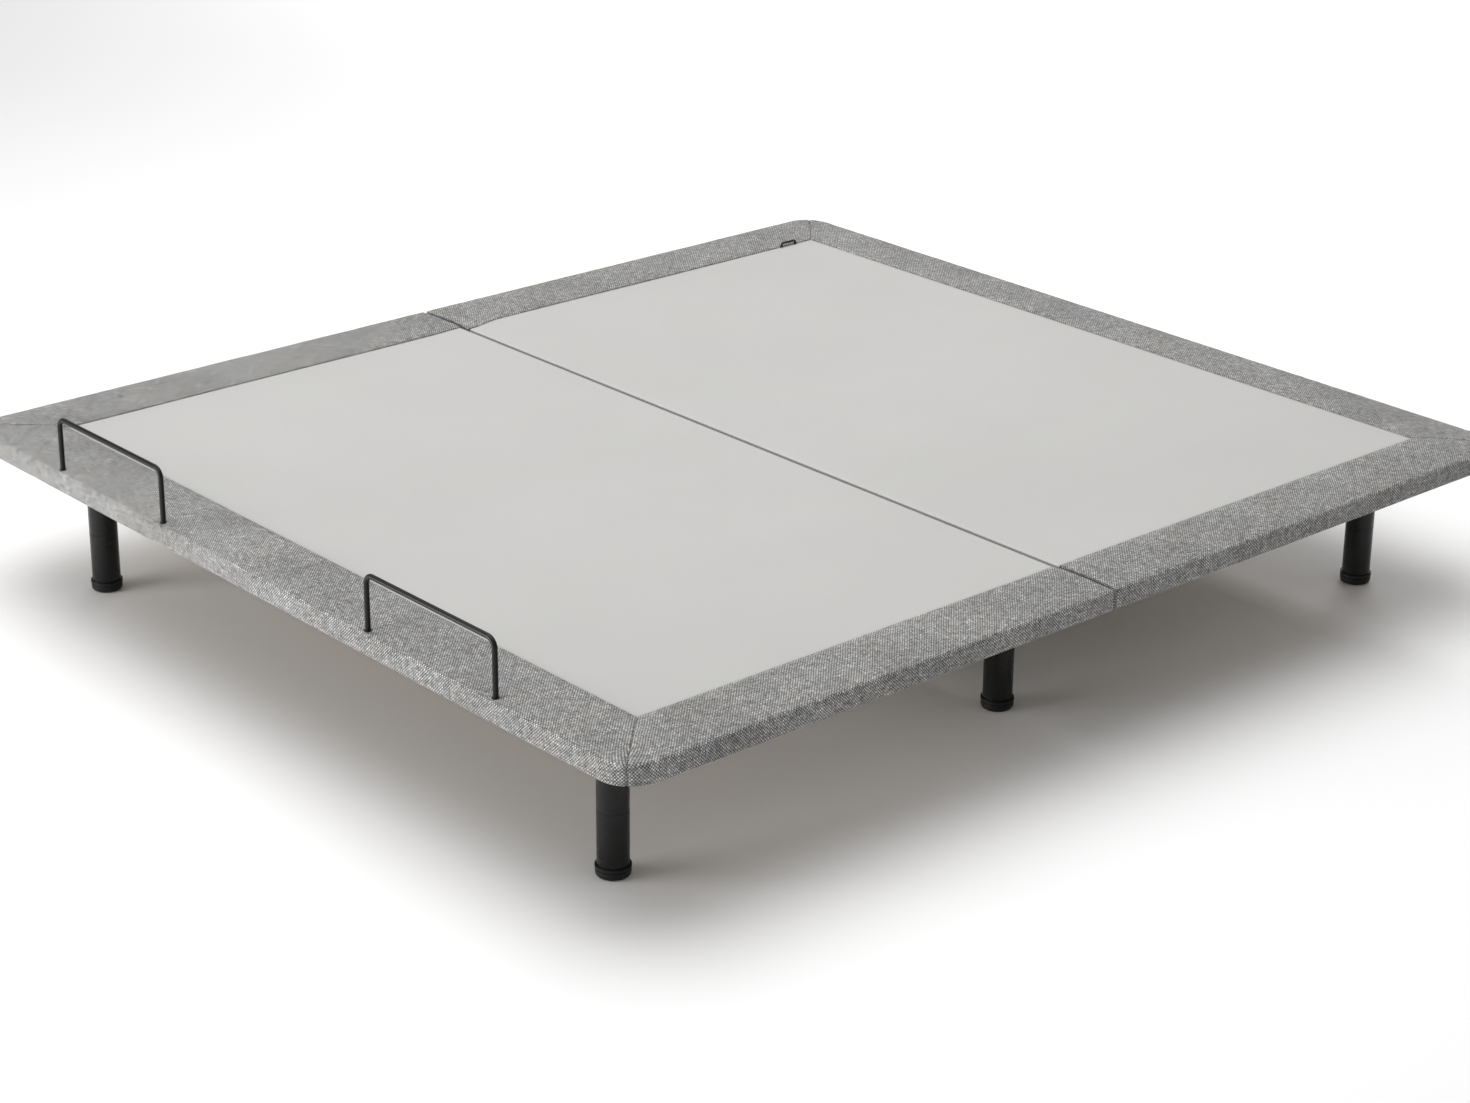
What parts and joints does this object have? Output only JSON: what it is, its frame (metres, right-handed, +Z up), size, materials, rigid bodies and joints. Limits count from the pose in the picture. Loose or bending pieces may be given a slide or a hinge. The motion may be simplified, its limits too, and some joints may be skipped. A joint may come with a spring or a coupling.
{
  "type": "adjustable bed base",
  "caption": "Flat upholstered two-panel bed base on short round legs; a drive tilts the head panel and wire bars hold the mattress at the foot.",
  "frame": {"origin": "on the floor, at the middle of the deck", "axes": "+X to the right seen from the foot end, +Y towards the head end, +Z up"},
  "size_m": [1.83, 2.03, 0.388],
  "materials": {
    "frame_steel": "satin black powder coat",
    "leg_steel": "satin black powder coat",
    "glide_plastic": "fine moulded black",
    "plated_steel": "zinc plated",
    "bumper_rubber": "matt",
    "nylon": "satin moulded",
    "housing_plastic": "fine texture",
    "plywood": "raw",
    "foam": "open cell foam",
    "border_fabric": "grey melange twill",
    "centre_cloth": "smooth warm light grey cloth",
    "retainer_steel": "satin black",
    "collar_plastic": "matt black"
  },
  "bodies": {
    "base": {"left_side_rail": "frame_steel", "right_side_rail": "frame_steel", "foot_cross_member": "frame_steel", "mid_cross_member": "frame_steel", "drive_cross_member": "frame_steel", "head_cross_member": "frame_steel", "leg_mount_plates": "frame_steel", "leg_upper_sections": "leg_steel", "leg_foot_left": "leg_steel", "leg_foot_right": "leg_steel", "leg_mid_left": "leg_steel", "leg_mid_right": "leg_steel", "leg_head_left": "leg_steel", "leg_head_right": "leg_steel", "leg_glides": "glide_plastic", "leg_studs": "plated_steel", "foot_panel_risers": "frame_steel", "rubber_bumpers": "bumper_rubber", "hinge_brackets": "frame_steel", "hinge_pins": "plated_steel", "torque_bearing_plates": "frame_steel", "torque_bushes": "nylon", "drive_bracket": "frame_steel", "gearbox_lower": "housing_plastic", "gearbox_upper": "housing_plastic", "motor_can": "housing_plastic", "spindle_bearing": "plated_steel", "actuator_tube": "plated_steel", "tube_end_bush": "housing_plastic", "tube_hanger": "frame_steel", "control_box_base": "housing_plastic", "control_box_cover": "housing_plastic", "power_inlet": "housing_plastic", "foot_board": "plywood", "foot_rails": "plywood", "foot_foam": "foam", "foot_border_cover": "border_fabric", "foot_centre_cloth": "centre_cloth", "retainer_sockets": "collar_plastic"},
    "head_panel": {"head_board": "plywood", "head_rails": "plywood", "head_foam": "foam", "head_border_cover": "border_fabric", "head_centre_cloth": "centre_cloth", "roller_tracks": "plated_steel", "head_hinge_plates": "plated_steel", "side_loop": "collar_plastic"},
    "torque_assembly": {"torque_tube": "frame_steel", "lift_arm_left": "frame_steel", "lift_arm_right": "frame_steel", "crank_lever": "frame_steel"},
    "left_roller": {"roller_left": "nylon"},
    "right_roller": {"roller_right": "nylon"},
    "push_rod": {"push_rod": "plated_steel", "spindle_nut": "nylon"},
    "spindle": {"spindle": "plated_steel", "worm_wheel": "nylon"},
    "worm_shaft": {"worm_shaft": "plated_steel"},
    "left_retainer": {"retainer_bar_left": "retainer_steel"},
    "right_retainer": {"retainer_bar_right": "retainer_steel"}
  },
  "joints": [
    {"name": "head_lift", "type": "hinge", "parent": "base", "child": "head_panel", "pos_m": [0, 0.024, 0.266], "axis": [1, 0, 0], "range_deg": [0, 60]},
    {"name": "torque_turn", "type": "hinge", "parent": "base", "child": "torque_assembly", "pos_m": [0, 0.43408, 0.202], "axis": [1, 0, 0], "range_deg": [0, 120]},
    {"name": "left_roller_spin", "type": "hinge", "parent": "torque_assembly", "child": "left_roller", "pos_m": [-0.3, 0.83181, 0.2446], "axis": [1, 0, 0], "range_deg": [0, 1422.6]},
    {"name": "right_roller_spin", "type": "hinge", "parent": "torque_assembly", "child": "right_roller", "pos_m": [0.3, 0.83181, 0.2446], "axis": [1, 0, 0], "range_deg": [0, 1422.6]},
    {"name": "rod_slide", "type": "slide", "parent": "base", "child": "push_rod", "axis": [0, 1, 0], "range_m": [0, 0.1277]},
    {"name": "spindle_spin", "type": "hinge", "parent": "base", "child": "spindle", "pos_m": [0, 0.05, 0.15], "axis": [0, 1, 0], "range_deg": [-3831.5, 0]},
    {"name": "worm_spin", "type": "hinge", "parent": "base", "child": "worm_shaft", "pos_m": [0, 0.038, 0.122], "axis": [1, 0, 0], "range_deg": [0, 42111.1]},
    {"name": "left_retainer_lift", "type": "slide", "parent": "base", "child": "left_retainer", "axis": [0, 0, 1], "range_m": [0, 0.12]},
    {"name": "right_retainer_lift", "type": "slide", "parent": "base", "child": "right_retainer", "axis": [0, 0, 1], "range_m": [0, 0.12]}
  ],
  "couplings": [
    {"joint": "torque_turn", "follows": "head_lift", "ratio": 2},
    {"joint": "left_roller_spin", "follows": "head_lift", "ratio": 23.693},
    {"joint": "right_roller_spin", "follows": "head_lift", "ratio": 23.693},
    {"joint": "rod_slide", "follows": "head_lift", "m_per_rad": 0.1218},
    {"joint": "spindle_spin", "follows": "head_lift", "ratio": -63.774},
    {"joint": "worm_spin", "follows": "head_lift", "ratio": 701.52}
  ]
}
